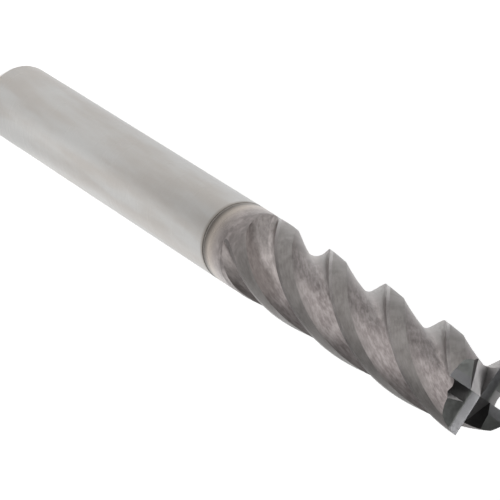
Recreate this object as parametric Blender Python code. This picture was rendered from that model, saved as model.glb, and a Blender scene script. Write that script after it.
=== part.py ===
"""A four-flute end mill: a ground shank, a brazed joint and a fluted, centre-cutting head.

Metres, +Z up. The tool stands on its shank end. Its axis is Z, and the origin is the centre of that
end's face. A tooth's cutting corner lies over each of +X, +Y, -X and -Y.
"""

import math

import bmesh
import bpy
from mathutils import Matrix, Vector

MM = 0.001

# Driving dimensions
RADIUS = 12.7 / 2 * MM  # shank and cutting circle
OVERALL_LENGTH = 152.4 * MM
HEAD_LENGTH = 72.6 * MM  # from the joint to the cutting corners
NECK_LENGTH = 5.4 * MM  # plain part of the head, behind the flutes
RUNOUT_LENGTH = 23.2 * MM  # where the flutes rise out of the tool towards the neck
RUNOUT_POWER = 3.1  # how much faster they rise towards the neck
RUNOUT_SKEW = math.radians(-45)  # the direction in which they rise, from the radius through their hollow
TEETH = 4
HELIX = math.radians(30)

# One flute and its tooth, seen along the axis
RAKE = math.radians(4)  # hook of the cutting face behind the radius
RAKE_FLAT = 0.09 * RADIUS  # straight part of the cutting face, next to the edge
FLUTE_ARC = 0.325 * RADIUS  # radius of the flute's hollow
BACK_BOW = 0.047 * RADIUS  # how far the slope up to the heel bulges into the flute
LAND_ANGLE = math.radians(28)  # width of the land behind the cutting edge
MARGIN_ANGLE = math.radians(5)  # narrow first relief next to the edge
MARGIN_DROP = 0.05 * MM
HEEL_DROP = 0.37 * MM

# Cutting end
DISH = math.radians(2)  # the end edges fall towards the centre
END_LAND = 1.4 * MM  # width of the primary relief behind each end edge
END_PRIMARY = math.radians(7)
END_SECONDARY = math.radians(18)
GASH_WIDTH = 1.9 * MM  # flat floor of the notch ground ahead of each end edge
GASH_SLOPE = math.radians(31)  # how steeply the floor falls outwards
GASH_WALL = math.radians(50)  # lean of the notch's far wall
EDGE_OFFSET = 0.03 * MM  # how far each end edge lies behind the centre line
CUT_OVERLAP = 0.02 * MM  # how far neighbouring end cuts cross, less than EDGE_OFFSET
GASH_LEAD_IN = 0.3 * MM  # how far a gash cutter reaches back, above the surface

# Joint between head and shank
SPIGOT_RADIUS = 3.2 * MM
SPIGOT_LENGTH = 8.0 * MM
BRAZE = 0.3 * MM  # thickness of the filler
CLEARANCE = 0.05 * MM  # left on each side of the filler
GROOVE = 0.04 * MM  # edge break on both sides of the joint, and how far the filler lies below the surface
SHANK_CHAMFER = 0.6 * MM

# Fineness of the mesh
SEGMENTS = 64  # round the turned parts
FLUTE_STEPS = 9  # across a flute
LAND_STEPS = 4  # across a land
CURVE_SAMPLES = 96  # along the hollow and the slope, before they are divided into steps
TWIST_STEP = math.radians(6)  # most turn between two sections at full depth
RUNOUT_RINGS = 20
NECK_RINGS = 3
FULL_RUNOUT = 0.97  # how nearly the flutes are out of the tool where the neck begins
MERGE = 0.001 * MM  # points closer than this are one point
TINY = 1e-9 * MM  # keeps a division safe where two points coincide
SHARP = math.radians(30)  # edges that bend more than this aren't shaded smooth

# Oversize of the end cutters
STOCK = 1.0 * MM  # length above the corners that the end cuts take away
CUT_TOP = OVERALL_LENGTH + RADIUS
CUT_REACH = 1.4 * RADIUS

# Derived places
PITCH = 2 * math.pi / TEETH
LEAD = 2 * math.pi * RADIUS / math.tan(HELIX)
JOINT_Z = OVERALL_LENGTH - HEAD_LENGTH
RUNOUT_Z = JOINT_Z + NECK_LENGTH
FULL_DEPTH_Z = RUNOUT_Z + RUNOUT_LENGTH
JOINT_GAP = BRAZE + 2 * CLEARANCE
SHANK_TOP = JOINT_Z - JOINT_GAP
SOCKET_RADIUS = SPIGOT_RADIUS + JOINT_GAP
SOCKET_FLOOR = JOINT_Z - SPIGOT_LENGTH - JOINT_GAP


def clear_scene():
    for obj in list(bpy.data.objects):
        bpy.data.objects.remove(obj, do_unlink=True)


def material(name, colour, roughness, metallic):
    made = bpy.data.materials.new(name)
    made.use_nodes = True
    shader = made.node_tree.nodes["Principled BSDF"]
    shader.inputs["Base Color"].default_value = (*colour, 1.0)
    shader.inputs["Roughness"].default_value = roughness
    shader.inputs["Metallic"].default_value = metallic
    return made


def new_object(name, shape, finish):
    """Turns a bmesh into a named object with sharp edges kept and round faces shaded smooth."""
    bmesh.ops.recalc_face_normals(shape, faces=shape.faces)
    mesh = bpy.data.meshes.new(name)
    shape.to_mesh(mesh)
    shape.free()
    mesh.shade_smooth()
    mesh.set_sharp_from_angle(angle=SHARP)
    if finish:
        mesh.materials.append(finish)
    obj = bpy.data.objects.new(name, mesh)
    bpy.context.scene.collection.objects.link(obj)
    return obj


def turned(name, profile, closed, finish):
    """Spins (radius, z) points about Z. A closed profile is a ring, an open one ends on the axis."""
    shape = bmesh.new()
    points = [shape.verts.new((radius, 0.0, z)) for radius, z in profile]
    ends = zip(points, points[1:] + points[:1] if closed else points[1:])
    edges = [shape.edges.new(pair) for pair in ends]
    bmesh.ops.spin(
        shape, geom=points + edges, axis=(0, 0, 1), cent=(0, 0, 0), angle=2 * math.pi, steps=SEGMENTS
    )
    bmesh.ops.remove_doubles(shape, verts=shape.verts, dist=MERGE)
    return new_object(name, shape, finish)


def shank(finish):
    """The round shank, with a chamfered end below and a socket for the head's spigot above."""
    profile = [
        (0.0, 0.0),
        (RADIUS - SHANK_CHAMFER, 0.0),
        (RADIUS, SHANK_CHAMFER),
        (RADIUS, SHANK_TOP - GROOVE),
        (RADIUS - GROOVE, SHANK_TOP),
        (SOCKET_RADIUS, SHANK_TOP),
        (SOCKET_RADIUS, SOCKET_FLOOR),
        (0.0, SOCKET_FLOOR),
    ]
    return turned("shank", profile, False, finish)


def braze_joint(finish):
    """The filler: a thin washer between the faces and a sleeve round the spigot, as one body."""
    inside = SPIGOT_RADIUS + CLEARANCE
    below = SHANK_TOP + CLEARANCE
    bottom = JOINT_Z - SPIGOT_LENGTH + CLEARANCE
    profile = [
        (inside, bottom),
        (inside + BRAZE, bottom),
        (inside + BRAZE, below),
        (RADIUS - GROOVE, below),
        (RADIUS - GROOVE, below + BRAZE),
        (inside, below + BRAZE),
    ]
    return turned("braze_joint", profile, True, finish)


def polar(radius, angle):
    return Vector((radius * math.cos(angle), radius * math.sin(angle)))


def angle_of(point):
    return math.atan2(point.y, point.x)


def flute_curve():
    """The full-depth flute, from the cutting edge on +X to the heel of the land ahead.

    A flat rake face leaves the edge, a hollow arc turns outwards, and a bowed slope rises to the heel.
    Returns the points, and the lift that would take the whole flute out of the tool.
    """
    inward = Vector((-math.cos(RAKE), -math.sin(RAKE)))
    across = Vector((-math.sin(RAKE), math.cos(RAKE)))
    edge = Vector((RADIUS, 0.0))
    centre = edge + RAKE_FLAT * inward + FLUTE_ARC * across
    heel = polar(RADIUS - HEEL_DROP, PITCH - LAND_ANGLE)
    to_heel = heel - centre
    turn = math.atan2(to_heel.dot(inward), -to_heel.dot(across)) - math.acos(FLUTE_ARC / to_heel.length)
    arc = []
    for i in range(CURVE_SAMPLES + 1):
        t = turn * i / CURVE_SAMPLES
        arc.append(centre - FLUTE_ARC * math.cos(t) * across + FLUTE_ARC * math.sin(t) * inward)
    rise = heel - arc[-1]
    bulge = BACK_BOW * Vector((rise.y, -rise.x)).normalized()
    slope = []
    for i in range(1, CURVE_SAMPLES + 1):
        share = i / CURVE_SAMPLES
        slope.append(arc[-1] + share * rise + 4 * share * (1 - share) * bulge)
    rising = polar(1.0, angle_of(centre) + RUNOUT_SKEW)
    along = centre.dot(rising)
    clear = math.sqrt(along**2 + (RADIUS + FLUTE_ARC) ** 2 - centre.length_squared) - along
    return [edge] + arc + slope, clear * rising


def inside_circle(curve):
    """The stretch of a curve that lies within the cutting circle, ended exactly on the circle."""
    within = [i for i, point in enumerate(curve) if point.length < RADIUS + TINY]
    first, last = within[0], within[-1]
    kept = curve[first : last + 1]
    if first > 0:
        kept.insert(0, crossing(curve[first - 1], curve[first]))
    if last < len(curve) - 1:
        kept.append(crossing(curve[last + 1], curve[last]))
    return kept


def crossing(outer, inner):
    """Where the line between a point outside the cutting circle and one inside it meets the circle."""
    low, high = 0.0, 1.0
    for _ in range(40):
        middle = (low + high) / 2
        if inner.lerp(outer, middle).length > RADIUS:
            high = middle
        else:
            low = middle
    return inner.lerp(outer, low)


def evenly(curve, steps):
    """steps + 1 points at even distances along a curve."""
    lengths = [0.0]
    for a, b in zip(curve, curve[1:]):
        lengths.append(lengths[-1] + (b - a).length)
    points, i = [], 0
    for step in range(steps + 1):
        wanted = lengths[-1] * step / steps
        while i < len(curve) - 2 and lengths[i + 1] < wanted:
            i += 1
        share = (wanted - lengths[i]) / max(lengths[i + 1] - lengths[i], TINY)
        points.append(curve[i].lerp(curve[i + 1], min(share, 1.0)))
    return points


def tooth_section(fade):
    """One pitch of the section, from a cutting edge through its flute and over the next land.

    fade is 0 where the flute is at full depth and 1 where it has risen out of the tool.
    """
    curve, lift = flute_curve()
    points = evenly(inside_circle([point + fade * lift for point in curve]), FLUTE_STEPS)
    edge = angle_of(points[0]) + PITCH
    heel = angle_of(points[-1])
    heel_radius = points[-1].length
    margin = edge - MARGIN_ANGLE
    margin_drop = MARGIN_DROP * (1 - fade)
    for step in range(1, LAND_STEPS):
        share = step / (LAND_STEPS - 1)
        radius = heel_radius + share * (RADIUS - margin_drop - heel_radius)
        points.append(polar(radius, heel + share * (margin - heel)))
    return points


def full_section(fade):
    """Every tooth's points, once round the tool."""
    tooth = tooth_section(fade)
    return [Matrix.Rotation(PITCH * i, 2) @ point for i in range(TEETH) for point in tooth]


def twist(z):
    """How far the section at z is turned, with the cutting corners on the axes at the tool's end."""
    return -2 * math.pi * (OVERALL_LENGTH - z) / LEAD


def flute_rings():
    """(z, points) for each section of the fluted part, from the neck to the stock above the corners."""
    rings = []
    for i in range(RUNOUT_RINGS + 1):
        share = i / RUNOUT_RINGS
        rings.append((RUNOUT_Z + RUNOUT_LENGTH * share, FULL_RUNOUT * (1 - share) ** RUNOUT_POWER))
    length = OVERALL_LENGTH - FULL_DEPTH_Z
    steps = math.ceil(2 * math.pi * length / LEAD / TWIST_STEP)
    rings += [(FULL_DEPTH_Z + length * i / steps, 0.0) for i in range(1, steps + 1)]
    rings.append((OVERALL_LENGTH + STOCK, 0.0))
    return [(z, turned_points(full_section(fade), twist(z))) for z, fade in rings]


def turned_points(points, angle):
    return [Matrix.Rotation(angle, 2) @ point for point in points]


def neck_rings(first_flute_ring):
    """(z, points) up the plain neck. Its points spread from even spacing to where the flutes need them."""
    wanted = [angle_of(point) for point in first_flute_ring]
    for i in range(1, len(wanted)):
        while wanted[i] < wanted[i - 1]:
            wanted[i] += 2 * math.pi
    count = len(wanted)
    middle = sum(wanted) / count - math.pi * (count - 1) / count
    even = [middle + 2 * math.pi * i / count for i in range(count)]
    bottom = JOINT_Z + GROOVE
    rings = []
    for i in range(NECK_RINGS + 1):
        share = i / (NECK_RINGS + 1)
        angles = [a + share * (b - a) for a, b in zip(even, wanted)]
        rings.append((bottom + (RUNOUT_Z - bottom) * share, [polar(RADIUS, angle) for angle in angles]))
    return rings


def head_body(finish):
    """Spigot, neck and twisted flutes, with flat stock above the corners that the end cuts then shape."""
    flutes = flute_rings()
    neck = neck_rings(flutes[0][1])
    foot = [point.normalized() for point in neck[0][1]]
    low = [
        (JOINT_Z - SPIGOT_LENGTH, [SPIGOT_RADIUS * point for point in foot]),
        (JOINT_Z, [SPIGOT_RADIUS * point for point in foot]),
        (JOINT_Z, [(RADIUS - GROOVE) * point for point in foot]),
    ]
    shape = bmesh.new()
    sections = low + neck + flutes
    rows = [[shape.verts.new((point.x, point.y, z)) for point in points] for z, points in sections]
    for below, above in zip(rows, rows[1:]):
        for i in range(len(below)):
            j = (i + 1) % len(below)
            shape.faces.new((below[i], below[j], above[j], above[i]))
    shape.faces.new(reversed(rows[0]))
    shape.faces.new(rows[-1])
    return new_object("cutter_head", shape, finish)


def prism(name, outline, start, end, rise):
    """A cutter with a (y, z) outline, run along X: in place at X = RADIUS, climbing by rise per unit."""
    shape = bmesh.new()
    caps = [[shape.verts.new((x, y, z + rise * (x - RADIUS))) for y, z in outline] for x in (start, end)]
    shape.faces.new(caps[0])
    shape.faces.new(reversed(caps[1]))
    for i in range(len(outline)):
        j = (i + 1) % len(outline)
        shape.faces.new((caps[0][j], caps[0][i], caps[1][i], caps[1][j]))
    return new_object(name, shape, None)


def end_relief_cutter(name):
    """What stands above the primary and secondary relief behind the end edge that lies along +X."""
    edge = (CUT_OVERLAP, OVERALL_LENGTH + (CUT_OVERLAP + EDGE_OFFSET) * math.tan(END_PRIMARY))
    land_end = (-EDGE_OFFSET - END_LAND, OVERALL_LENGTH - END_LAND * math.tan(END_PRIMARY))
    behind = (-CUT_REACH, land_end[1] - (CUT_REACH + land_end[0]) * math.tan(END_SECONDARY))
    outline = [(-CUT_REACH, CUT_TOP), behind, land_end, edge, (CUT_OVERLAP, CUT_TOP)]
    return prism(name, outline, -CUT_OVERLAP, CUT_REACH, math.tan(DISH))


def gash_cutter(name, start):
    """A flat-floored notch ahead of the end edge along +X. It begins at X = start and deepens outwards."""
    surface = OVERALL_LENGTH - RADIUS * math.tan(DISH)
    floor = surface - (RADIUS - start) * math.tan(GASH_SLOPE)
    far = GASH_WIDTH + (CUT_TOP - floor) * math.tan(GASH_WALL)
    outline = [(-EDGE_OFFSET, CUT_TOP), (-EDGE_OFFSET, floor), (GASH_WIDTH, floor), (far, CUT_TOP)]
    return prism(name, outline, start - GASH_LEAD_IN, CUT_REACH, -math.tan(GASH_SLOPE))


def cut(target, cutter):
    """Takes a hidden cutter out of the target."""
    cutter.hide_render = True
    cutter.display_type = "WIRE"
    modifier = target.modifiers.new(cutter.name, "BOOLEAN")
    modifier.operation = "DIFFERENCE"
    modifier.object = cutter


def cutter_head(finish):
    """The head with its end ground: a gash ahead of each end edge, then a pair of relief faces behind it.

    The two teeth on the X axis meet at the centre. The gashes of the other two stop at those teeth's lands.
    """
    head = head_body(finish)
    cutters = [gash_cutter(f"gash_cut_{tooth + 1}", END_LAND * (tooth % 2)) for tooth in range(TEETH)]
    cutters += [end_relief_cutter(f"end_relief_cut_{tooth + 1}") for tooth in range(TEETH)]
    for number, cutter in enumerate(cutters):
        cutter.rotation_euler.z = PITCH * (number % TEETH)
        cut(head, cutter)
    return head


def main():
    clear_scene()
    shank(material("ground_steel", (0.50, 0.49, 0.48), 0.32, 1.0))
    braze_joint(material("braze_filler", (0.12, 0.11, 0.10), 0.5, 1.0))
    cutter_head(material("coated_carbide", (0.26, 0.24, 0.24), 0.36, 1.0))


main()
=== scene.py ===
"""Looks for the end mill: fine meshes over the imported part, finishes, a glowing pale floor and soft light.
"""

import math

import bmesh
import bpy
from mathutils import Matrix, Vector


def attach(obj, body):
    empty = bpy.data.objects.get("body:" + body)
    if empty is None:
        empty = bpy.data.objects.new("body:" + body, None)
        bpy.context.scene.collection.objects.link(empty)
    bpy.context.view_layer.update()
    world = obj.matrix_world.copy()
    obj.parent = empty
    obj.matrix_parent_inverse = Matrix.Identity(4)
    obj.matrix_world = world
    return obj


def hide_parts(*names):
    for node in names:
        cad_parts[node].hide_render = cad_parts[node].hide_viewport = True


MM = 0.001

# The tool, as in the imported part
RADIUS = 12.7 / 2 * MM
OVERALL_LENGTH = 152.4 * MM
HEAD_LENGTH = 72.6 * MM
NECK_LENGTH = 5.4 * MM
RUNOUT_LENGTH = 23.2 * MM
RUNOUT_POWER = 3.1
RUNOUT_SKEW = math.radians(-45)
TEETH = 4
HELIX = math.radians(30)
RAKE = math.radians(4)
RAKE_FLAT = 0.09 * RADIUS
FLUTE_ARC = 0.325 * RADIUS
BACK_BOW = 0.047 * RADIUS
LAND_ANGLE = math.radians(28)
MARGIN_ANGLE = math.radians(5)
MARGIN_DROP = 0.05 * MM
HEEL_DROP = 0.37 * MM
DISH = math.radians(2)
END_LAND = 1.4 * MM
END_PRIMARY = math.radians(7)
END_SECONDARY = math.radians(18)
GASH_WIDTH = 1.9 * MM
GASH_SLOPE = math.radians(31)
GASH_WALL = math.radians(50)
EDGE_OFFSET = 0.03 * MM  # how far each end edge lies behind the centre line
CUT_OVERLAP = 0.02 * MM  # how far neighbouring end cuts cross, less than EDGE_OFFSET
GASH_LEAD_IN = 0.3 * MM  # how far a gash cutter reaches back, above the surface
SPIGOT_RADIUS = 3.2 * MM
SPIGOT_LENGTH = 8.0 * MM
BRAZE = 0.3 * MM
CLEARANCE = 0.05 * MM
GROOVE = 0.04 * MM
SHANK_CHAMFER = 0.6 * MM

# Where the finishes change
HEAT_TINT = 1.1 * MM  # length of the stain on the shank next to the joint
NECK_TINT = 1.8 * MM  # length of the stain on the neck next to the joint
BROWN_FROM, BROWN_TO = 0.8 * MM, 4.0 * MM  # heights above the joint between which the neck's brown fades
NECK_BLEND = 0.6 * NECK_LENGTH  # upper part of the neck, over which it becomes mottled
RUNOUT_BLEND = 8.0 * MM  # length over which the neck's look passes into the lands
BAND_FROM, BAND_TO = 13.5 * MM, 17.5 * MM  # heights above the neck where the run-out's painted light fades
BAND_HIGHLIGHT_ANGLE = math.radians(19)  # from a cutting edge to the painted highlight in the run-out
HOLLOW_LIGHT_ANGLE = math.radians(36)  # from a cutting edge to the flute's palest line at full depth, a painted highlight
MARGIN_SHADE_CHANGE = 0.3 * RUNOUT_LENGTH  # height above the neck below which margins get even painted shade
END_FACE_DEPTH = 0.01 * MM  # how far below its top the shank counts as its dull end face

# Noise scales, in features per metre along X, Y and Z, and depths of the marks that they make
SHANK_RINGS = (60, 60, 9000)
SHANK_STAINS = (260, 260, 45)
FILLER_CLOUDS = (900, 900, 900)
HEAD_CLOUDS = (420, 420, 420)
RUNOUT_CLOUDS = (520, 520, 620)
FLUTE_MARKS = (2600, 2600, 700)
NECK_MARKS = (420, 420, 4200)
HOLLOW_PATCHES = (260, 260, 160)
BAND_PATCHES = (700, 700, 500)
SHANK_MARK_DEPTH = 0.0008 * MM
FILLER_MARK_DEPTH = 0.02 * MM
HEAD_MARK_DEPTH = 0.006 * MM

# The part of a pattern's range over which a finish changes
STAIN_RANGE = (0.34, 0.66)
RING_RANGE = (0.3, 0.7)
CLOUD_RANGE = (0.32, 0.68)
MARK_RANGE = (0.35, 0.68)
ROUGH_RANGE = (0.25, 0.75)
HOLLOW_LIGHT_RANGE = (-0.6, 1.2)
BAND_HIGHLIGHT_RANGE = (0.1, 0.95)

# How far noise shifts the edges of a flute's stripes of painted light and shade
HOLLOW_UNEVENNESS = 0.9
BAND_UNEVENNESS = 0.8

SHANK_ROUGHNESS = (0.27, 0.31)
FILLER_ROUGHNESS = 0.55
FULL_METAL = 1.0
HALF_METAL = 0.5
END_FACE_METAL = 0.2
EDGE_TINT = (0.82, 0.82, 0.82, 1.0)  # of the ground steel's reflection at grazing angles

# Fineness of the shown meshes
SEGMENTS = 256
FLUTE_STEPS = 32
LAND_STEPS = 8
CURVE_SAMPLES = 192
TWIST_STEP = math.radians(1.5)  # largest twist from one section of the flutes to the next
RUNOUT_RINGS = 90
NECK_RINGS = 12
FULL_RUNOUT = 0.985  # share of the way out that the flutes have risen where they end
MERGE = 0.001 * MM
TINY = 1e-9 * MM
HALVINGS = 40
SHARP = math.radians(24)
STOCK = 1.0 * MM  # length above the corners that the end cuts take away
CUT_TOP = OVERALL_LENGTH + RADIUS
CUT_REACH = 1.4 * RADIUS  # how far from the axis the cutters reach
END_ZONE = 11.0 * MM  # length of the end that the cuts can reach

PITCH = 2 * math.pi / TEETH
LEAD = 2 * math.pi * RADIUS / math.tan(HELIX)
JOINT_Z = OVERALL_LENGTH - HEAD_LENGTH
RUNOUT_Z = JOINT_Z + NECK_LENGTH
FULL_DEPTH_Z = RUNOUT_Z + RUNOUT_LENGTH
JOINT_GAP = BRAZE + 2 * CLEARANCE
SHANK_TOP = JOINT_Z - JOINT_GAP
SOCKET_RADIUS = SPIGOT_RADIUS + JOINT_GAP
SOCKET_FLOOR = JOINT_Z - SPIGOT_LENGTH - JOINT_GAP

# The view: the tool's axis points to the right, down and towards the camera
LENS = 350.7
SENSOR = 36.0
VIEW_TILT = math.radians(32.65)  # between the axis and the line of sight
VIEW_ROLL = math.radians(32.61)  # how far the axis points below the picture's horizontal
VIEW_TURN = math.radians(0.83)  # how far SIDE is turned from -X
CLIP_START = 10 * MM

# How far the joint lies to the right of the line of sight, above it, and away from the camera
JOINT_RIGHT = -0.202 * RADIUS
JOINT_UP = 0.149 * RADIUS
JOINT_AWAY = 114.89 * RADIUS

SIDE_TURN = math.pi + VIEW_TURN
FRONT_TURN = 1.5 * math.pi + VIEW_TURN
SIDE = Vector((math.cos(SIDE_TURN), math.sin(SIDE_TURN), 0.0))  # towards the picture's upper right
FRONT = Vector((math.cos(FRONT_TURN), math.sin(FRONT_TURN), 0.0))  # towards the camera, across the tool
AXIS = Vector((0, 0, 1))
FOOT = Vector((0, 0, 0))
JOINT = Vector((0, 0, JOINT_Z))
TIP = Vector((0, 0, OVERALL_LENGTH))

# The lights, each a disc aimed at the tip: direction from the tip, diameter in metres, power in watts
LIGHT_DISTANCE = 1.0
LIGHTS = {
    "key": (0.76 * SIDE - 0.16 * FRONT + 0.54 * AXIS, 0.6, 6.5),
    "rim": (-0.49 * SIDE - 0.54 * FRONT + 0.68 * AXIS, 0.35, 0.05),
    "fill": (0.06 * SIDE - 0.42 * FRONT + 0.90 * AXIS, 0.3, 0.95),
}

# The world: pale up to one height on the unit sphere and dark from the other on
PALE_HEIGHT, DARK_HEIGHT = 0.05, 0.30
PALE_STRENGTH, DARK_STRENGTH = 0.40, 0.01

# The floor. A spread is the pair of cosines between which a glow changes, and the other pairs are distances
FLOOR_HALF_SIZE = 8.0
FLOOR_COLOUR = (0.86, 0.86, 0.86)
FLOOR_ROUGHNESS = 0.9
NEAR_GLOW, MIDDLE_GLOW, NEAR_RANGE = 0.20, 0.11, (100 * MM, 200 * MM)
FAR_GLOW, FAR_RANGE = 0.60, (450 * MM, 1100 * MM)
POOL_GLOW, POOL_RANGE, POOL_CENTRE = 0.48, (80 * MM, 122 * MM), -49 * MM * FRONT
FRONT_LOBE = 0.97 * FRONT + 0.17 * SIDE
FRONT_GLOW, FRONT_SPREAD, FRONT_RISE = 0.85, (0.45, 0.98), (80 * MM, 150 * MM)
SIDE_LOBE = 0.97 * SIDE + 0.26 * FRONT
SIDE_GLOW, SIDE_SPREAD, SIDE_RISE, SIDE_FALL = 0.60, (0.5, 1.0), (68 * MM, 90 * MM), (95 * MM, 125 * MM)
OTHER_GLOW, OTHER_SPREAD, OTHER_FALL = 0.30, (0.1, 1.0), (80 * MM, 110 * MM)


# ---------- materials ----------


class Finish:
    """A Principled material and the few kinds of node that its pattern is made of."""

    def __init__(self, name, roughness, metallic=FULL_METAL):
        self.material = bpy.data.materials.new(name)
        self.material.use_nodes = True
        self.tree = self.material.node_tree
        self.shader = self.tree.nodes["Principled BSDF"]
        self.shader.inputs["Metallic"].default_value = metallic
        self.shader.inputs["Roughness"].default_value = roughness
        self.place = self.tree.nodes.new("ShaderNodeTexCoord").outputs["Object"]

    def node(self, kind, **settings):
        made = self.tree.nodes.new(kind)
        for key, value in settings.items():
            setattr(made, key, value)
        return made

    def link(self, value, socket):
        if isinstance(value, bpy.types.NodeSocket):
            self.tree.links.new(value, socket)
        else:
            socket.default_value = value

    def math(self, operation, a, b=0.0, clamp=False):
        node = self.node("ShaderNodeMath", operation=operation, use_clamp=clamp)
        self.link(a, node.inputs[0])
        self.link(b, node.inputs[1])
        return node.outputs[0]

    def scaled(self, vector, scale):
        node = self.node("ShaderNodeVectorMath", operation="MULTIPLY")
        self.link(vector, node.inputs[0])
        self.link(Vector(scale), node.inputs[1])
        return node.outputs[0]

    def split(self, vector):
        """The X, Y and Z of a vector."""
        node = self.node("ShaderNodeSeparateXYZ")
        self.link(vector, node.inputs[0])
        return node.outputs

    def height(self):
        return self.split(self.place)[2]

    def untwisted(self):
        """Object coordinates with the flutes' twist taken out, so that a flute runs straight along Z."""
        turn = self.math("MULTIPLY", self.height(), -2 * math.pi / LEAD)
        node = self.node("ShaderNodeVectorRotate", rotation_type="Z_AXIS")
        self.link(self.place, node.inputs["Vector"])
        self.link(turn, node.inputs["Angle"])
        return node.outputs[0]

    def noise(self, vector, scale, detail=3.0, rough=0.55):
        """Noise from 0 to 1 with one feature per 1 / scale, in metres."""
        node = self.node("ShaderNodeTexNoise")
        self.link(self.scaled(vector, scale), node.inputs["Vector"])
        node.inputs["Scale"].default_value = 1.0
        node.inputs["Detail"].default_value = detail
        node.inputs["Roughness"].default_value = rough
        return node.outputs[0]

    def distance(self, centre):
        """How far the place is from a centre, in metres."""
        node = self.node("ShaderNodeVectorMath", operation="DISTANCE")
        self.link(self.place, node.inputs[0])
        self.link(centre, node.inputs[1])
        return node.outputs["Value"]

    def towards(self, direction):
        """The cosine between a direction and the way from the origin to the place."""
        way = self.node("ShaderNodeVectorMath", operation="NORMALIZE")
        self.link(self.place, way.inputs[0])
        node = self.node("ShaderNodeVectorMath", operation="DOT_PRODUCT")
        self.link(way.outputs[0], node.inputs[0])
        self.link(direction.normalized(), node.inputs[1])
        return node.outputs["Value"]

    def between(self, value, low, high, out_low=0.0, out_high=1.0):
        """value mapped from low..high to out_low..out_high, smoothly and held at the ends."""
        node = self.node("ShaderNodeMapRange", interpolation_type="SMOOTHSTEP")
        self.link(value, node.inputs["Value"])
        node.inputs["From Min"].default_value = low
        node.inputs["From Max"].default_value = high
        node.inputs["To Min"].default_value = out_low
        node.inputs["To Max"].default_value = out_high
        return node.outputs[0]

    def paint(self, value, socket):
        """Sets a colour socket to an opaque colour, or links it."""
        self.link((*value, 1.0) if isinstance(value, tuple) else value, socket)

    def mix(self, share, a, b):
        node = self.node("ShaderNodeMix", data_type="RGBA")
        self.link(share, node.inputs["Factor"])
        self.paint(a, node.inputs["A"])
        self.paint(b, node.inputs["B"])
        return node.outputs["Result"]

    def colour(self, value):
        self.paint(value, self.shader.inputs["Base Color"])

    def roughness(self, value):
        self.link(value, self.shader.inputs["Roughness"])

    def bump(self, height, depth):
        node = self.node("ShaderNodeBump")
        node.inputs["Distance"].default_value = depth
        self.link(height, node.inputs["Height"])
        self.link(node.outputs[0], self.shader.inputs["Normal"])


def ground_shank():
    """Satin ground steel: fine rings round the axis, soft stains, and a heat tint next to the joint."""
    brown, grey, heated = (0.442, 0.419, 0.396), (0.497, 0.492, 0.482), (0.26, 0.234, 0.208)
    finish = Finish("ground_shank", SHANK_ROUGHNESS[0])
    rings = finish.noise(finish.place, SHANK_RINGS, detail=4.0, rough=0.7)
    stains = finish.between(finish.noise(finish.place, SHANK_STAINS), *STAIN_RANGE)
    tint = finish.between(finish.height(), SHANK_TOP - HEAT_TINT, SHANK_TOP)
    finish.colour(finish.mix(tint, finish.mix(stains, brown, grey), heated))
    end_face = SHANK_TOP - END_FACE_DEPTH
    metal = finish.between(finish.height(), end_face - END_FACE_DEPTH, end_face, FULL_METAL, END_FACE_METAL)
    finish.link(metal, finish.shader.inputs["Metallic"])
    finish.shader.inputs["Specular Tint"].default_value = EDGE_TINT
    finish.roughness(finish.between(rings, *RING_RANGE, *SHANK_ROUGHNESS))
    finish.bump(rings, SHANK_MARK_DEPTH)
    return finish.material


def braze_filler():
    """Dull brownish filler with a cloudy, unground surface."""
    dark, light = (0.20, 0.18, 0.16), (0.34, 0.31, 0.285)
    finish = Finish("braze_filler", FILLER_ROUGHNESS, HALF_METAL)
    clouds = finish.noise(finish.place, FILLER_CLOUDS)
    finish.colour(finish.mix(clouds, dark, light))
    finish.bump(clouds, FILLER_MARK_DEPTH)
    return finish.material


class Coated(Finish):
    """Ground carbide under a thin coating: soft clouds, and grinding marks as strong as speck."""

    def __init__(self, name, dark, light, roughness=(0.34, 0.46), grain=FLUTE_MARKS, speck=0.5):
        super().__init__(name, roughness[0])
        marks = self.noise(self.untwisted(), grain, detail=4.0, rough=0.65)
        clouds = self.between(self.noise(self.place, HEAD_CLOUDS), *CLOUD_RANGE)
        cloudy = self.math("MULTIPLY", clouds, 1.0 - speck)
        marked = self.math("MULTIPLY", self.between(marks, *MARK_RANGE), speck)
        self.share = self.math("ADD", cloudy, marked, clamp=True)  # of the light colour
        self.plain = self.mix(self.share, dark, light)
        self.colour(self.plain)
        self.roughness(self.between(marks, *ROUGH_RANGE, *roughness))
        self.bump(marks, HEAD_MARK_DEPTH)

    def runout_clouds(self):
        """The pinkish mottling where the neck passes into the lands."""
        dark, light = (0.205, 0.182, 0.176), (0.36, 0.322, 0.312)
        clouds = self.noise(self.place, RUNOUT_CLOUDS, detail=4.0, rough=0.6)
        return self.mix(self.between(clouds, *STAIN_RANGE), dark, light)

    def stripe(self, angle, patches):
        """A wave across each flute, highest at this angle from the cutting edge, plus patches."""
        x, y, _ = self.split(self.untwisted())
        turned_by = 2 * math.pi * OVERALL_LENGTH / LEAD - angle
        turn = self.math("ADD", self.math("ARCTAN2", y, x), turned_by)
        return self.math("ADD", self.math("COSINE", self.math("MULTIPLY", turn, TEETH)), patches)


def coated_land():
    """The lands are dull and dark, and a little paler and pinkish where the flutes run out."""
    finish = Coated("coated_land", (0.168, 0.155, 0.147), (0.268, 0.252, 0.243))
    blend = finish.between(finish.height(), RUNOUT_Z + RUNOUT_BLEND, RUNOUT_Z)
    finish.colour(finish.mix(blend, finish.plain, finish.runout_clouds()))
    return finish.material


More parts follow.
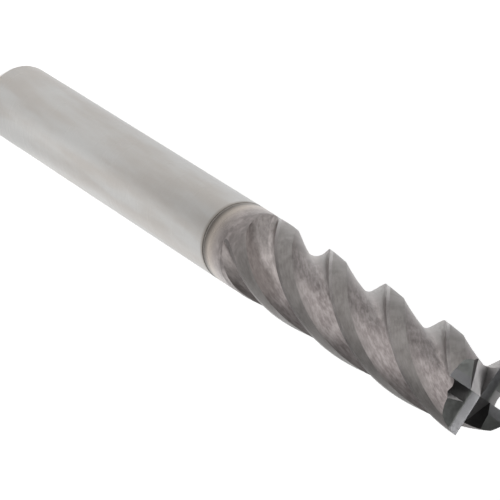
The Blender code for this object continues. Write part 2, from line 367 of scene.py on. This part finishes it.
def coated_flute():
    """Speckled flutes, painted light and shade: palest in their hollows and by the edge where they run out.
    """
    # slope: painted shade on the flutes' slopes at full depth, beside the speckled painted highlight along
    # their bottoms
    dark, light, slope = (0.185, 0.16, 0.157), (0.40, 0.365, 0.357), (0.20, 0.185, 0.178)
    # The run-out's painted shade, and on the next line its painted highlight
    painted_shade_dark, painted_shade_light = (0.13, 0.113, 0.107), (0.225, 0.198, 0.19)
    painted_highlight_dark, painted_highlight_light = (0.27, 0.243, 0.235), (0.47, 0.428, 0.415)
    finish = Coated("coated_flute", dark, light, roughness=(0.28, 0.40), speck=0.65)
    uneven = finish.noise(finish.place, HOLLOW_PATCHES, detail=2.0)
    patches = finish.math("MULTIPLY", uneven, HOLLOW_UNEVENNESS)
    # Painted light: the speckled colour along each flute's palest line, and the slope colour as painted
    # shade on either side
    painted_hollow_light = finish.between(finish.stripe(HOLLOW_LIGHT_ANGLE, patches), *HOLLOW_LIGHT_RANGE)
    full_depth = finish.mix(painted_hollow_light, slope, finish.plain)
    uneven = finish.math("ADD", finish.noise(finish.place, BAND_PATCHES), -0.5)
    patches = finish.math("MULTIPLY", uneven, BAND_UNEVENNESS)
    highlight_share = finish.between(finish.stripe(BAND_HIGHLIGHT_ANGLE, patches), *BAND_HIGHLIGHT_RANGE)
    # Painted light in the run-out: painted shade on the heel side, painted highlight by the cutting edge
    dull = finish.mix(finish.share, painted_shade_dark, painted_shade_light)
    painted_highlight = finish.mix(finish.share, painted_highlight_dark, painted_highlight_light)
    early = finish.between(finish.height(), RUNOUT_Z + BAND_TO, RUNOUT_Z + BAND_FROM)
    finish.colour(finish.mix(early, full_depth, finish.mix(highlight_share, dull, painted_highlight)))
    return finish.material


def coated_margin():
    """The narrow margin behind each cutting edge is the smoothest part, with even painted shade in the
    run-out.
    """
    finish = Coated("coated_margin", (0.16, 0.147, 0.143), (0.24, 0.226, 0.22), roughness=(0.20, 0.28))
    runout = finish.between(finish.height(), FULL_DEPTH_Z, RUNOUT_Z + MARGIN_SHADE_CHANGE)
    # Painted shade: an even colour, darker than most of the margin, in the run-out, which damps the margins'
    # bright reflection there
    finish.colour(finish.mix(runout, finish.plain, (0.18, 0.165, 0.16)))
    return finish.material


def coated_neck():
    """The neck carries fine rings, is browner next to the joint and mottled towards the flutes."""
    dark, light = (0.215, 0.188, 0.178), (0.41, 0.368, 0.35)
    brown, stained = (0.42, 0.37, 0.325), (0.115, 0.102, 0.09)
    finish = Coated("coated_neck", dark, light, roughness=(0.24, 0.34), grain=NECK_MARKS, speck=0.4)
    browned = finish.between(finish.height(), JOINT_Z + BROWN_TO, JOINT_Z + BROWN_FROM)
    blend = finish.between(finish.height(), RUNOUT_Z - NECK_BLEND, RUNOUT_Z)
    colour = finish.mix(blend, finish.mix(browned, finish.plain, brown), finish.runout_clouds())
    tint = finish.between(finish.height(), JOINT_Z + GROOVE + NECK_TINT, JOINT_Z)
    finish.colour(finish.mix(tint, colour, stained))
    return finish.material


def coated_end_faces():
    """The end's ground faces have faint marks: its lands, reliefs, gashes and the gashes' far walls."""
    land = Coated("coated_end_land", (0.31, 0.31, 0.32), (0.37, 0.37, 0.38), speck=0.3)
    relief = Coated("coated_end_relief", (0.315, 0.325, 0.313), (0.385, 0.393, 0.38), speck=0.3)
    # The gash floors are paler than the other end faces, a painted highlight so that the lit gash floor
    # reads bright
    gash = Coated("coated_gash", (0.36, 0.35, 0.35), (0.44, 0.43, 0.43), (0.33, 0.40), speck=0.3)
    # The gashes' far walls are much darker, painted shade
    painted_shade_wall = Coated("coated_gash_wall_painted_shade", (0.15, 0.146, 0.146), (0.20, 0.193, 0.193), (0.30, 0.36), speck=0.3)
    return [face.material for face in (land, relief, gash, painted_shade_wall)]


# ---------- shapes ----------


def new_object(name, shape, finishes):
    bmesh.ops.recalc_face_normals(shape, faces=shape.faces)
    mesh = bpy.data.meshes.new(name)
    shape.to_mesh(mesh)
    shape.free()
    mesh.shade_smooth()
    mesh.set_sharp_from_angle(angle=SHARP)
    for finish in finishes:
        mesh.materials.append(finish)
    obj = bpy.data.objects.new(name, mesh)
    bpy.context.scene.collection.objects.link(obj)
    return obj


def turned(name, profile, closed, finish):
    """Spins (radius, z) points about Z."""
    shape = bmesh.new()
    points = [shape.verts.new((radius, 0.0, z)) for radius, z in profile]
    ends = zip(points, points[1:] + points[:1] if closed else points[1:])
    edges = [shape.edges.new(pair) for pair in ends]
    bmesh.ops.spin(
        shape, geom=points + edges, axis=(0, 0, 1), cent=(0, 0, 0), angle=2 * math.pi, steps=SEGMENTS
    )
    bmesh.ops.remove_doubles(shape, verts=shape.verts, dist=MERGE)
    return new_object(name, shape, [finish])


def shank_piece(finish):
    profile = [
        (0.0, 0.0),
        (RADIUS - SHANK_CHAMFER, 0.0),
        (RADIUS, SHANK_CHAMFER),
        (RADIUS, SHANK_TOP - GROOVE),
        (RADIUS - GROOVE, SHANK_TOP),
        (SOCKET_RADIUS, SHANK_TOP),
        (SOCKET_RADIUS, SOCKET_FLOOR),
        (0.0, SOCKET_FLOOR),
    ]
    return turned("shank_ground", profile, False, finish)


def braze_piece(finish):
    inside = SPIGOT_RADIUS + CLEARANCE
    below = SHANK_TOP + CLEARANCE
    bottom = JOINT_Z - SPIGOT_LENGTH + CLEARANCE
    profile = [
        (inside, bottom),
        (inside + BRAZE, bottom),
        (inside + BRAZE, below),
        (RADIUS - GROOVE, below),
        (RADIUS - GROOVE, below + BRAZE),
        (inside, below + BRAZE),
    ]
    return turned("braze_ring", profile, True, finish)


def polar(radius, angle):
    return Vector((radius * math.cos(angle), radius * math.sin(angle)))


def angle_of(point):
    return math.atan2(point.y, point.x)


def flute_curve():
    """The full-depth flute from the edge on +X to the heel ahead, and the lift that takes it out."""
    inward = Vector((-math.cos(RAKE), -math.sin(RAKE)))
    across = Vector((-math.sin(RAKE), math.cos(RAKE)))
    edge = Vector((RADIUS, 0.0))
    centre = edge + RAKE_FLAT * inward + FLUTE_ARC * across
    heel = polar(RADIUS - HEEL_DROP, PITCH - LAND_ANGLE)
    to_heel = heel - centre
    turn = math.atan2(to_heel.dot(inward), -to_heel.dot(across)) - math.acos(FLUTE_ARC / to_heel.length)
    arc = []
    for i in range(CURVE_SAMPLES + 1):
        t = turn * i / CURVE_SAMPLES
        arc.append(centre - FLUTE_ARC * math.cos(t) * across + FLUTE_ARC * math.sin(t) * inward)
    rise = heel - arc[-1]
    bulge = BACK_BOW * Vector((rise.y, -rise.x)).normalized()
    slope = []
    for i in range(1, CURVE_SAMPLES + 1):
        share = i / CURVE_SAMPLES
        slope.append(arc[-1] + share * rise + 4 * share * (1 - share) * bulge)
    rising = polar(1.0, angle_of(centre) + RUNOUT_SKEW)
    along = centre.dot(rising)
    clear = math.sqrt(along**2 + (RADIUS + FLUTE_ARC) ** 2 - centre.length_squared) - along
    return [edge] + arc + slope, clear * rising


FLUTE, LIFT = flute_curve()


def crossing(outer, inner):
    """Where the line from a point outside the tool's circle to one inside it crosses the circle."""
    low, high = 0.0, 1.0
    for _ in range(HALVINGS):
        middle = (low + high) / 2
        if inner.lerp(outer, middle).length > RADIUS:
            high = middle
        else:
            low = middle
    return inner.lerp(outer, low)


def inside_circle(curve):
    """The part of a curve within the tool's circle, cut off where the curve leaves it."""
    within = [i for i, point in enumerate(curve) if point.length < RADIUS + TINY]
    first, last = within[0], within[-1]
    kept = curve[first : last + 1]
    if first > 0:
        kept.insert(0, crossing(curve[first - 1], curve[first]))
    if last < len(curve) - 1:
        kept.append(crossing(curve[last + 1], curve[last]))
    return kept


def evenly(curve, steps):
    """Points on a curve at equal distances along it."""
    lengths = [0.0]
    for a, b in zip(curve, curve[1:]):
        lengths.append(lengths[-1] + (b - a).length)
    points, i = [], 0
    for step in range(steps + 1):
        wanted = lengths[-1] * step / steps
        while i < len(curve) - 2 and lengths[i + 1] < wanted:
            i += 1
        share = (wanted - lengths[i]) / max(lengths[i + 1] - lengths[i], TINY)
        points.append(curve[i].lerp(curve[i + 1], min(share, 1.0)))
    return points


def tooth_section(fade):
    """One flute and the land ahead of it, with the flute lifted by a share of the way out of the tool."""
    points = evenly(inside_circle([point + fade * LIFT for point in FLUTE]), FLUTE_STEPS)
    edge = angle_of(points[0]) + PITCH
    heel = angle_of(points[-1])
    heel_radius = points[-1].length
    margin = edge - MARGIN_ANGLE
    margin_drop = MARGIN_DROP * (1 - fade)
    for step in range(1, LAND_STEPS):
        share = step / (LAND_STEPS - 1)
        radius = heel_radius + share * (RADIUS - margin_drop - heel_radius)
        points.append(polar(radius, heel + share * (margin - heel)))
    return points


def ring(z, fade):
    tooth = tooth_section(fade)
    angle = -2 * math.pi * (OVERALL_LENGTH - z) / LEAD
    return z, [Matrix.Rotation(angle + PITCH * i, 2) @ point for i in range(TEETH) for point in tooth]


def spaced(start, end, steps):
    return [start + (end - start) * i / steps for i in range(steps + 1)]


def flute_rings(start, end):
    """The sections at full depth from start to end."""
    steps = math.ceil(2 * math.pi * (end - start) / LEAD / TWIST_STEP)
    return [ring(z, 0.0) for z in spaced(start, end, steps)]


def runout_rings():
    rings = []
    for share in spaced(0.0, 1.0, RUNOUT_RINGS):
        rings.append(ring(RUNOUT_Z + RUNOUT_LENGTH * share, FULL_RUNOUT * (1 - share) ** RUNOUT_POWER))
    return rings


def neck_rings(first):
    """Round sections up to the run-out, whose points turn from even spacing to that of its first section."""
    wanted = [angle_of(point) for point in first]
    for i in range(1, len(wanted)):
        while wanted[i] < wanted[i - 1]:
            wanted[i] += 2 * math.pi
    count = len(wanted)
    middle = sum(wanted) / count - math.pi * (count - 1) / count
    even = [middle + 2 * math.pi * i / count for i in range(count)]
    bottom = JOINT_Z + GROOVE
    rings = []
    for i in range(NECK_RINGS + 1):
        share = i / (NECK_RINGS + 1)
        angles = [a + share * (b - a) for a, b in zip(even, wanted)]
        rings.append((bottom + (RUNOUT_Z - bottom) * share, [polar(RADIUS, angle) for angle in angles]))
    return rings


HEAD_FINISHES = ("flute", "land", "margin", "neck", "end_land", "end_relief", "gash", "gash_wall")


def slot_of(column, z):
    """The finish of the face that begins at this column of a section, at height z."""
    if z < RUNOUT_Z:
        return HEAD_FINISHES.index("neck")
    place = column % (FLUTE_STEPS + LAND_STEPS)
    if place < FLUTE_STEPS:
        return HEAD_FINISHES.index("flute")
    if place < FLUTE_STEPS + LAND_STEPS - 1:
        return HEAD_FINISHES.index("land")
    return HEAD_FINISHES.index("margin")


def loft(name, sections, finishes):
    """A closed skin over sections, each a height and the same number of points."""
    shape = bmesh.new()
    rows = [[shape.verts.new((point.x, point.y, z)) for point in points] for z, points in sections]
    for (z, _), below, above in zip(sections, rows, rows[1:]):
        for i in range(len(below)):
            j = (i + 1) % len(below)
            face = shape.faces.new((below[i], below[j], above[j], above[i]))
            face.material_index = slot_of(i, z)
    shape.faces.new(reversed(rows[0])).material_index = HEAD_FINISHES.index("neck")
    shape.faces.new(rows[-1])
    return new_object(name, shape, finishes)


def prism(name, outline, slots, start, end, rise, finishes):
    """A cutter with a (y, z) outline, run along X. The face after outline point i has slots[i]."""
    shape = bmesh.new()
    caps = [[shape.verts.new((x, y, z + rise * (x - RADIUS))) for y, z in outline] for x in (start, end)]
    shape.faces.new(caps[0]).material_index = slots[0]
    shape.faces.new(reversed(caps[1])).material_index = slots[0]
    for i in range(len(outline)):
        j = (i + 1) % len(outline)
        shape.faces.new((caps[0][j], caps[0][i], caps[1][i], caps[1][j])).material_index = slots[i]
    return new_object(name, shape, finishes)


def end_relief_cutter(name, finishes):
    """Takes away what stands above the end land and the relief behind the end edge on +X."""
    land, relief = HEAD_FINISHES.index("end_land"), HEAD_FINISHES.index("end_relief")
    edge = (CUT_OVERLAP, OVERALL_LENGTH + (CUT_OVERLAP + EDGE_OFFSET) * math.tan(END_PRIMARY))
    land_end = (-EDGE_OFFSET - END_LAND, OVERALL_LENGTH - END_LAND * math.tan(END_PRIMARY))
    behind = (-CUT_REACH, land_end[1] - (CUT_REACH + land_end[0]) * math.tan(END_SECONDARY))
    outline = [(-CUT_REACH, CUT_TOP), behind, land_end, edge, (CUT_OVERLAP, CUT_TOP)]
    slots = [relief, relief, land, relief, relief]
    return prism(name, outline, slots, -CUT_OVERLAP, CUT_REACH, math.tan(DISH), finishes)


def gash_cutter(name, start, finishes):
    """Grinds the gash in front of the end edge on +X, from this distance off the axis outwards."""
    gash, painted_shade_wall = HEAD_FINISHES.index("gash"), HEAD_FINISHES.index("gash_wall")
    surface = OVERALL_LENGTH - RADIUS * math.tan(DISH)
    floor = surface - (RADIUS - start) * math.tan(GASH_SLOPE)
    far = GASH_WIDTH + (CUT_TOP - floor) * math.tan(GASH_WALL)
    outline = [(-EDGE_OFFSET, CUT_TOP), (-EDGE_OFFSET, floor), (GASH_WIDTH, floor), (far, CUT_TOP)]
    slots = [gash, gash, painted_shade_wall, gash]
    return prism(name, outline, slots, start - GASH_LEAD_IN, CUT_REACH, -math.tan(GASH_SLOPE), finishes)


def ground_end(finishes):
    """The last part of the fluted head as one mesh, with its gashes and relief faces cut."""
    start = OVERALL_LENGTH - END_ZONE
    sections = flute_rings(start, OVERALL_LENGTH) + [ring(OVERALL_LENGTH + STOCK, 0.0)]
    end = loft("ground_end", sections, finishes)
    cutters = [gash_cutter(f"gash_{tooth}", END_LAND * (tooth % 2), finishes) for tooth in range(TEETH)]
    cutters += [end_relief_cutter(f"relief_{tooth}", finishes) for tooth in range(TEETH)]
    for number, cutter in enumerate(cutters):
        cutter.rotation_euler.z = PITCH * (number % TEETH)
        modifier = end.modifiers.new(cutter.name, "BOOLEAN")
        modifier.operation = "DIFFERENCE"
        modifier.solver = "EXACT"
        modifier.material_mode = "TRANSFER"
        modifier.object = cutter
    bpy.context.view_layer.update()
    mesh = bpy.data.meshes.new_from_object(end.evaluated_get(bpy.context.evaluated_depsgraph_get()))
    for obj in [end, *cutters]:
        bpy.data.objects.remove(obj)
    return mesh


def head_piece(finishes):
    """The spigot, neck, flutes and ground end, joined into one closed mesh."""
    runout = runout_rings()
    neck = neck_rings(runout[0][1])
    foot = [point.normalized() for point in neck[0][1]]
    low = [
        (JOINT_Z - SPIGOT_LENGTH, [SPIGOT_RADIUS * point for point in foot]),
        (JOINT_Z, [SPIGOT_RADIUS * point for point in foot]),
        (JOINT_Z, [(RADIUS - GROOVE) * point for point in foot]),
    ]
    seam = OVERALL_LENGTH - END_ZONE
    sections = low + neck + runout + flute_rings(FULL_DEPTH_Z, seam)[1:]
    body = loft("cutter_head_body", sections, finishes)
    end_mesh = ground_end(finishes)
    shape = bmesh.new()
    shape.from_mesh(body.data)
    shape.from_mesh(end_mesh)
    caps = [f for f in shape.faces if all(abs(v.co.z - seam) < MERGE for v in f.verts)]
    bmesh.ops.delete(shape, geom=caps, context="FACES_ONLY")
    bmesh.ops.remove_doubles(shape, verts=shape.verts, dist=MERGE)
    bpy.data.objects.remove(body)
    return new_object("cutter_head_ground", shape, finishes)


# ---------- the studio ----------


def view_axes():
    """The picture's right, up and towards-the-camera directions, in world axes."""
    axis = Vector((
        math.sin(VIEW_TILT) * math.cos(VIEW_ROLL),
        -math.sin(VIEW_TILT) * math.sin(VIEW_ROLL),
        math.cos(VIEW_TILT),
    ))
    sight = Vector((0, 0, 1))
    front = (sight - axis * sight.dot(axis)).normalized()
    side = sight.cross(axis).normalized()
    in_view = Matrix((side, front, axis)).transposed()
    in_world = Matrix((SIDE, FRONT, AXIS)).transposed()
    to_world = in_world @ in_view.inverted()
    return [to_world @ Vector(v) for v in ((1, 0, 0), (0, 1, 0), (0, 0, 1))]


def add_camera():
    right, up, back = view_axes()
    data = bpy.data.cameras.new("camera")
    data.sensor_width = SENSOR
    data.lens = LENS
    data.clip_start = CLIP_START
    camera = bpy.data.objects.new("camera", data)
    place = JOINT - JOINT_RIGHT * right - JOINT_UP * up + JOINT_AWAY * back
    camera.matrix_world = Matrix.Translation(place) @ Matrix((right, up, back)).transposed().to_4x4()
    bpy.context.scene.collection.objects.link(camera)
    bpy.context.scene.camera = camera


def add_light(name, direction, diameter, power):
    data = bpy.data.lights.new(name, "AREA")
    data.shape = "DISK"
    data.size = diameter
    data.energy = power
    light = bpy.data.objects.new(name, data)
    light.location = TIP + LIGHT_DISTANCE * direction.normalized()
    light.rotation_euler = direction.to_track_quat("Z", "Y").to_euler()
    bpy.context.scene.collection.objects.link(light)


def floor_glow(finish):
    """Floor glow, painted light: paler far off, a pool behind the tool, lobes in front and to the sides."""
    distance = finish.distance(FOOT)
    near = finish.between(distance, *NEAR_RANGE, NEAR_GLOW, MIDDLE_GLOW)
    far = finish.between(distance, *FAR_RANGE, 0.0, FAR_GLOW)
    pool = finish.between(finish.distance(POOL_CENTRE), *POOL_RANGE, POOL_GLOW, 0.0)
    front = finish.between(finish.towards(FRONT_LOBE), *FRONT_SPREAD, 0.0, FRONT_GLOW)
    front = finish.math("MULTIPLY", front, finish.between(distance, *FRONT_RISE))
    side = finish.between(finish.towards(SIDE_LOBE), *SIDE_SPREAD, 0.0, SIDE_GLOW)
    side = finish.math("MULTIPLY", side, finish.between(distance, *SIDE_RISE))
    side = finish.math("MULTIPLY", side, finish.between(distance, *SIDE_FALL, 1.0, 0.0))
    # Painted light: this lobe also washes out the tool's shadow on the floor at that side
    other = finish.between(finish.towards(-SIDE), *OTHER_SPREAD, 0.0, OTHER_GLOW)
    other = finish.math("MULTIPLY", other, finish.between(distance, *OTHER_FALL, 1.0, 0.0))
    glow = near
    for part in (far, pool, front, side, other):
        glow = finish.math("ADD", glow, part)
    return glow


def add_floor():
    shape = bmesh.new()
    bmesh.ops.create_grid(shape, x_segments=1, y_segments=1, size=FLOOR_HALF_SIZE)
    finish = Finish("floor_painted_light", FLOOR_ROUGHNESS, 0.0)
    finish.colour(FLOOR_COLOUR)
    finish.shader.inputs["Emission Color"].default_value = (1, 1, 1, 1)
    finish.link(floor_glow(finish), finish.shader.inputs["Emission Strength"])
    floor = new_object("floor", shape, [finish.material])


def add_world():
    """Pale near the horizon and dark above, so that the end face has something dark to reflect."""
    world = bpy.data.worlds.new("studio")
    world.use_nodes = True
    nodes, links = world.node_tree.nodes, world.node_tree.links
    place = nodes.new("ShaderNodeTexCoord")
    split = nodes.new("ShaderNodeSeparateXYZ")
    shade = nodes.new("ShaderNodeMapRange")
    shade.interpolation_type = "SMOOTHSTEP"
    shade.inputs["From Min"].default_value = PALE_HEIGHT
    shade.inputs["From Max"].default_value = DARK_HEIGHT
    shade.inputs["To Min"].default_value = PALE_STRENGTH
    shade.inputs["To Max"].default_value = DARK_STRENGTH
    links.new(place.outputs["Generated"], split.inputs[0])
    links.new(split.outputs[2], shade.inputs["Value"])
    links.new(shade.outputs[0], nodes["Background"].inputs["Strength"])
    nodes["Background"].inputs["Color"].default_value = (1, 1, 1, 1)
    bpy.context.scene.world = world


# ---------- the model ----------

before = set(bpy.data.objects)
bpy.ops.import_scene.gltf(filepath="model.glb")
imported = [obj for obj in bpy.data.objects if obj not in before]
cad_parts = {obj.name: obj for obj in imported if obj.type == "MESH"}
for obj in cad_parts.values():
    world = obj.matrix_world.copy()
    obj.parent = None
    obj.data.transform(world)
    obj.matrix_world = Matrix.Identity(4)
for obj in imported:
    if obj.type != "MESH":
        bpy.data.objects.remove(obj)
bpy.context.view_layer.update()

shank = shank_piece(ground_shank())
braze = braze_piece(braze_filler())
head = head_piece([coated_flute(), coated_land(), coated_margin(), coated_neck(), *coated_end_faces()])

for piece, node, slot in (
    (shank, "shank", "ground_shank"),
    (braze, "braze_joint", "braze_filler"),
    (head, "cutter_head", "coated_carbide"),
):
    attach(piece, "root")
    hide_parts(node)

add_camera()
add_floor()
add_world()
for name, (direction, diameter, power) in LIGHTS.items():
    add_light(name, direction, diameter, power)
bpy.context.scene.view_settings.view_transform = "Standard"
